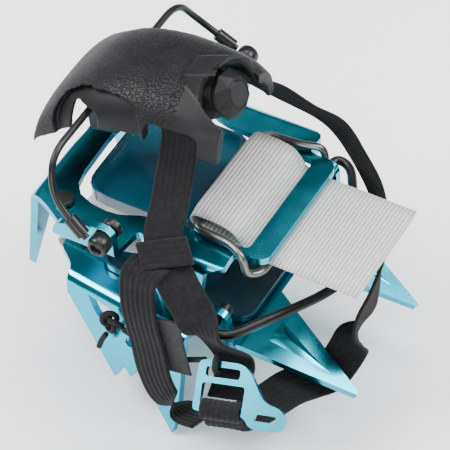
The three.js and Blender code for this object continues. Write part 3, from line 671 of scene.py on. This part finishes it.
cord_route = curve_points(CORD, 150)
cord = braid_cord("cord", cord_route, CORD_RADIUS)
tail = braid_cord("cord_end", curve_points(CORD_TAIL, 40), CORD_RADIUS)
knot_route = []
KNOT_POINTS, KNOT_SIZE = 160, 2.3
for k in range(KNOT_POINTS):  # a trefoil
    u = 4 * math.pi * k / KNOT_POINTS
    r = KNOT_SIZE * (2 + math.cos(1.5 * u)) / 2
    knot_route.append((
        KNOT_CENTRE[0] + r * math.cos(u), KNOT_CENTRE[1] - KNOT_SIZE * math.sin(1.5 * u) / 2,
        KNOT_CENTRE[2] + r * math.sin(u),
    ))
knot = braid_cord("cord_knot_turns", knot_route, CORD_RADIUS, closed=True)
hitch_wide = BUCKLE_THICK / 2 + 0.3 + CORD_RADIUS + 0.6
hitch_route = []
HITCH_POINTS, HITCH_TALL, HITCH_ALONG = 60, 2.6, -3
for k in range(HITCH_POINTS):
    angle = 2 * math.pi * k / HITCH_POINTS
    hitch_route.append(
        on_buckle(HITCH_ALONG, CORD_BAR + HITCH_TALL * math.sin(angle), hitch_wide * math.cos(angle)))
hitch = braid_cord("cord_loop", hitch_route, CORD_RADIUS, closed=True)
for piece, old in ((cord, "keeper_cord"), (tail, "cord_tail"), (knot, "cord_knot")):
    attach(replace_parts(piece, old), "frame")
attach(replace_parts(hitch, "cord_hitch"), "buckle")


# ---------------------------------------------------------------- throttle shell
SHELL = [
    (-78, 9, 15, 19), (-76, 12, 22, 19.5), (-70, 17, 30, 20), (-61, 23, 37, 20.5), (-52, 26.5, 41, 20.5),
    (-42, 28.5, 43, 20), (-34, 29.5, 43.5, 19.5), (-27, 29.5, 43.5, 19), (-20, 28, 43, 18.5), (-15, 27, 41.5, 17),
]
SCREW_AXIS = Vector((math.cos(KNOB_TILT), 0, math.sin(KNOB_TILT)))
KNOB_CENTRE = Vector((-22, 0, 38))
SHELL_VOXEL = 0.42
SHELL_SQUARENESS = 0.72  # 1 makes the cross-section an ellipse, and less makes it squarer
COWL_RADIUS, BORE_RADIUS, SCREW_WAY_RADIUS, CUTAWAY_RADIUS = 11.6, 8.8, 2.1, 10.6
SKIN_LEVEL = 0.93  # shell_level above which the grain shows


def lobe(name, wall):
    """The arched body of the throttle, or the hollow inside it when wall is more than 0."""
    arc_steps, rows = 48, 72
    past = 3 if wall else 0
    vertices, faces = [], []
    for row in range(rows + 1):
        x, low, crest, half = catmull_rom(SHELL, row / rows)
        x += {0: -past, rows: past}.get(row, 0)
        low -= past
        for k in range(arc_steps + 1):
            angle = math.pi * k / arc_steps
            across = math.copysign(abs(math.cos(angle)) ** SHELL_SQUARENESS, math.cos(angle))
            rise = math.sin(angle) ** SHELL_SQUARENESS if 0 < k < arc_steps else 0
            vertices.append(place((x, across * (half - wall), low + rise * (crest - wall - low))))
    ring = arc_steps + 1
    for row in range(rows):
        for k in range(ring):
            a, b = row * ring + k, row * ring + (k + 1) % ring
            faces.append((a, a + ring, b + ring, b))
    faces.append(tuple(range(ring)))
    faces.append(tuple(range((rows + 1) * ring - 1, rows * ring - 1, -1)))
    return new_object(name, vertices, faces, PLASTIC_GRAIN)


def prism(name, outline, direction, start, end):
    """A closed prism: an outline of points round a line, from start to end along direction."""
    count = len(outline)
    vertices = [p + direction * s * MM for s in (start, end) for p in outline]
    faces = [(k, (k + 1) % count, (k + 1) % count + count, k + count) for k in range(count)]
    faces += [tuple(range(count - 1, -1, -1)), tuple(range(count, 2 * count))]
    return new_object(name, vertices, faces, PLASTIC_GRAIN, False)


COWL_CUT = (SCREW_AXIS + Vector((0, -0.32, 0))).normalized()  # the cowl's mouth faces the strap's side


def screw_prism(name, radius, sides, start, end, turn=0.0, way=SCREW_AXIS):
    """A prism round the screw's axis, or round another way through the knob's centre."""
    up = way.cross(Vector((0, 1, 0))).normalized()
    side = up.cross(way)
    outline = []
    for k in range(sides):
        angle = 2 * math.pi * (k + turn) / sides
        outline.append(place(KNOB_CENTRE) + (side * math.cos(angle) + up * math.sin(angle)) * radius * MM)
    return prism(name, outline, way, start, end)


def combine(target, operation, *others):
    for other in others:
        step = target.modifiers.new(operation, "BOOLEAN")
        step.operation, step.object, step.solver = operation, other, "EXACT"
        applied(target)
        bpy.data.objects.remove(other)


# The smooth pocket in each side, seen from the side.
POCKET = [(-66, 12), (-70, 24), (-68, 30), (-61, 35.5), (-51, 38.6), (-43, 39.2), (-39.6, 36), (-37.6, 18)]
POCKET_DEPTH = 1.5
WINDOW_X, WINDOW_Z = (-37.6, -20.6), (18, 35.8)  # where the ankle strap comes out
WIRE_SLOT_X, WIRE_SLOT_Z = (-63.8, -54.2), (1, 31)


def side_prism(name, points, y):
    corners = [(x, 0, z) for x, z in points]
    route = smooth_route([corners[-1], *corners, corners[0]], 3)[1:-1]
    return prism(name, [place(p) for p in reversed(route)], Vector((0, 1, 0)), *y)


def rectangle(xs, zs):
    return [(xs[0], zs[0]), (xs[0], zs[1]), (xs[1], zs[1]), (xs[1], zs[0])]


def shell_level(point):
    """1 on the throttle's outer skin and less inside it."""
    x = min(max(point[0], SHELL[0][0]), SHELL[-1][0])
    low, crest, half = (np.interp(x, [s[0] for s in SHELL], [s[k] for s in SHELL]) for k in (1, 2, 3))
    power = 2 / SHELL_SQUARENESS
    rise = max(0, point[2] - low) / (crest - low)
    return (abs(point[1]) / half) ** power + rise ** power


def keep_largest(thing):
    """Drops every loose piece of a mesh but the one with the most vertices."""
    mesh = bmesh.new()
    mesh.from_mesh(thing.data)
    left, pieces = set(mesh.verts), []
    while left:
        reached, edge = set(), [left.pop()]
        while edge:
            vertex = edge.pop()
            reached.add(vertex)
            for other in (e.other_vert(vertex) for e in vertex.link_edges):
                if other in left:
                    left.discard(other)
                    edge.append(other)
        pieces.append(reached)
    largest = max(pieces, key=len)
    bmesh.ops.delete(mesh, geom=[v for v in mesh.verts if v not in largest], context="VERTS")
    mesh.to_mesh(thing.data)
    mesh.free()


def make_shell():
    shell = lobe("shell", 0)
    combine(shell, "UNION", screw_prism("cowl", COWL_RADIUS, 8, -7, 5.5, 0.5))
    combine(
        shell, "DIFFERENCE", lobe("hollow", SHELL_WALL), screw_prism("bore", BORE_RADIUS, 48, -6, 30),
        screw_prism("screw_way", SCREW_WAY_RADIUS, 24, -12, 0),
        screw_prism("cutaway", CUTAWAY_RADIUS, 32, 2.2, 30, 0, COWL_CUT),
        side_prism("slot", rectangle(WIRE_SLOT_X, WIRE_SLOT_Z), (-30, 30)),
        side_prism("window", rectangle(WINDOW_X, WINDOW_Z), (-30, -9)),
    )
    for y in ((-30, -7), (7, 30)):
        pocket = side_prism("pocket", POCKET, y)
        combine(pocket, "DIFFERENCE", lobe("floor", POCKET_DEPTH))
        combine(shell, "DIFFERENCE", pocket)
    remesh = shell.modifiers.new("remesh", "REMESH")
    remesh.mode, remesh.voxel_size = "VOXEL", SHELL_VOXEL * MM
    soften = shell.modifiers.new("soften", "SMOOTH")
    soften.factor, soften.iterations = 0.5, 3
    keep_largest(applied(shell))
    shell.data.materials.clear()
    shell.data.materials.append(PLASTIC_GRAIN)
    shell.data.materials.append(PLASTIC)
    for face in shell.data.polygons:
        centre = (face.center - ORIGIN) / MM
        on_cowl = (centre - KNOB_CENTRE).dot(SCREW_AXIS) > -5 and centre.x > -32
        face.material_index = int(on_cowl or shell_level(centre) < SKIN_LEVEL)
    shell.data.shade_smooth()
    return shell


shell = make_shell()
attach(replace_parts(shell, "throttle_shell"), "throttle")


# ---------------------------------------------------------------- knob
KNOB_RINGS = [(-5, 6.6), (-3, 7.8), (0.2, 6), (3.2, 7.8), (5.9, 5)]
KNOB_FACETS = 9


def make_knob():
    side, up = Vector((0, 1, 0)), SCREW_AXIS.cross(Vector((0, 1, 0)))

    def at(height, radius, turn):
        angle = 2 * math.pi * turn / KNOB_FACETS
        offset = SCREW_AXIS * height + (side * math.cos(angle) + up * math.sin(angle)) * radius
        return place(KNOB_CENTRE + offset)

    vertices = [at(h, r, k + ring / 2) for ring, (h, r) in enumerate(KNOB_RINGS) for k in range(KNOB_FACETS)]
    faces = []
    for ring in range(len(KNOB_RINGS) - 1):
        for k in range(KNOB_FACETS):
            a, b = ring * KNOB_FACETS + k, ring * KNOB_FACETS + (k + 1) % KNOB_FACETS
            faces.append((a, a + KNOB_FACETS, b))
            faces.append((b, a + KNOB_FACETS, b + KNOB_FACETS))
    last = (len(KNOB_RINGS) - 1) * KNOB_FACETS
    faces.append(tuple(range(KNOB_FACETS - 1, -1, -1)))
    rim = list(range(last, last + KNOB_FACETS))
    for height, radius in ((5.5, 4.6), (5.5, 4.2), (5.9, 3.8)):
        inner = [len(vertices) + k for k in range(KNOB_FACETS)]
        vertices += [at(height, radius, k + (len(KNOB_RINGS) - 1) / 2) for k in range(KNOB_FACETS)]
        for k in range(KNOB_FACETS):
            n = (k + 1) % KNOB_FACETS
            faces.append((rim[k], rim[n], inner[n], inner[k]))
        rim = inner
    faces.append(tuple(rim))
    made = new_object("knob", vertices, faces, PLASTIC, False)
    rounded = made.modifiers.new("rounded", "BEVEL")
    rounded.width, rounded.segments, rounded.angle_limit = 0.13 * MM, 2, math.radians(6)
    return applied(made)


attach(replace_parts(make_knob(), "adjuster_knob"), "knob")

# ---------------------------------------------------------------- keeper and label
KEEPER_AT, KEEPER_WIDTH = 0.135, 8.5
KEEPER_HALF_WIDE, KEEPER_HALF_DEEP, KEEPER_POINTS = 7.2, 1.6, 40
middle, ahead = (catmull_rom([s[:3] for s in STRAP_MAIN], KEEPER_AT + d) for d in (0, 0.03))
strap_way = (ahead - middle) / np.linalg.norm(ahead - middle)
strap_side = np.array([1, 0, -0.2]) - strap_way * strap_way[0]
strap_side /= np.linalg.norm(strap_side)
strap_out = np.cross(strap_side, strap_way)
keeper_route = []
for k in range(KEEPER_POINTS + 1):
    angle = 2 * math.pi * k / KEEPER_POINTS
    squared = [math.copysign(abs(v) ** 0.45, v) for v in (math.cos(angle), math.sin(angle))]
    spot = middle + strap_side * squared[0] * KEEPER_HALF_WIDE + strap_out * squared[1] * KEEPER_HALF_DEEP
    keeper_route.append((*spot, *strap_way))
keeper = ribbon("keeper", keeper_route, KEEPER_WIDTH, 0.9, 160, BLACK_WEBBING, long_grooves, 20)
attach(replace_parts(keeper, "strap_keeper"), "frame")

LABEL_RUN = [(-17, -46.1, -12, 1, 0, 0), (-15.6, -46.5, -22, 1, 0, 0), (-13.6, -46.9, -33, 1, 0, 0)]
label = ribbon("label", LABEL_RUN, 8, 0.7, 60, LABEL, lambda x, run: 0.0, 16)


THREAD_SIDES, THREAD_RINGS = 6, 7
THREAD_RADIUS, THREAD_HUMP = 0.17, 0.12


def stitches(name, stations, offsets, rise, count, length):
    """Rows of stitches lying on a strap's face, each a short low hump of thread."""
    vertices, faces = [], []
    centre = [s[:3] for s in stations]
    for x in offsets:
        for k in range(count):
            for j in range(THREAD_RINGS):
                t = min(1, (k + 0.5 + (j / (THREAD_RINGS - 1) - 0.5) * length) / count)
                p = catmull_rom(centre, t)
                q = catmull_rom(centre, min(1, t + 0.01)) if t < 0.99 else None
                way = (q - p) if q is not None else (p - catmull_rom(centre, t - 0.01))
                way /= np.linalg.norm(way)
                side = np.array(stations[0][3:], float)
                side -= way * side.dot(way)
                side /= np.linalg.norm(side)
                out = np.cross(side, way)
                hump = math.sin(math.pi * j / (THREAD_RINGS - 1))
                for i in range(THREAD_SIDES):
                    a = 2 * math.pi * i / THREAD_SIDES
                    size = THREAD_RADIUS * (0.35 + 0.65 * hump)
                    lift = rise + THREAD_HUMP * hump + size * math.sin(a)
                    spot = p + side * (x + size * math.cos(a)) + out * lift
                    vertices.append(place(spot))
            end = len(vertices)
            first = end - THREAD_RINGS * THREAD_SIDES
            for j in range(THREAD_RINGS - 1):
                for i in range(THREAD_SIDES):
                    row = first + j * THREAD_SIDES
                    a, b = row + i, row + (i + 1) % THREAD_SIDES
                    faces.append((a, b, b + THREAD_SIDES, a + THREAD_SIDES))
            faces.append(tuple(range(first + THREAD_SIDES - 1, first - 1, -1)))
            faces.append(tuple(range(end - THREAD_SIDES, end)))
    return new_object(name, vertices, faces, THREAD)


seam = stitches("label_seam", LABEL_RUN, (-3.3, 3.3), 0.33, 14, 0.62)
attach(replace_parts(label, "label_tag"), "frame")
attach(seam, "frame")

# ---------------------------------------------------------------- floor and light
FLOOR_SIZE, FLOOR_LEVEL = 4, -0.0002
LIT_POINT = (-20, 0, -20)


def make_stage():
    bpy.ops.mesh.primitive_plane_add(size=FLOOR_SIZE, location=(0, 0, FLOOR_LEVEL))
    floor = bpy.context.object
    floor.name = "floor"
    paper = new_material("pale_floor", (0.86, 0.86, 0.87), 0.9)
    tint(paper, noise(paper, 6), (0.85, 0.85, 0.86), (0.88, 0.88, 0.89))
    floor.data.materials.append(paper)


def soft_box(name, azimuth, elevation, distance, size, energy):
    light = bpy.data.objects.new(name, bpy.data.lights.new(name, "AREA"))
    bpy.context.scene.collection.objects.link(light)
    back = from_side(math.radians(azimuth), math.radians(elevation))
    light.location = place(LIT_POINT) + back * distance
    light.rotation_euler = back.to_track_quat("Z", "Y").to_euler()
    light.data.shape = "RECTANGLE"
    light.data.size, light.data.size_y = size
    light.data.energy = energy


def make_world():
    world = bpy.context.scene.world or bpy.data.worlds.new("world")
    bpy.context.scene.world = world
    world.use_nodes = True
    tree = world.node_tree
    tree.nodes["Background"].inputs["Color"].default_value = (0.9, 0.93, 0.95, 1)
    tree.nodes["Background"].inputs["Strength"].default_value = 0.22


make_stage()
make_world()
soft_box("left_box", -70, 50, 0.9, (0.5, 0.35), 13)
soft_box("right_box", 120, 45, 0.9, (0.4, 0.5), 12)
soft_box("top_box", 200, 75, 1.0, (0.6, 0.4), 9)
soft_box("front_box", 15, 18, 1.1, (0.9, 0.25), 9)
soft_box("camera_box", 45, 62, 1.2, (0.35, 0.35), 5)
soft_box("buckle_box", -28, 48, 1.2, (0.3, 0.3), 1.6)
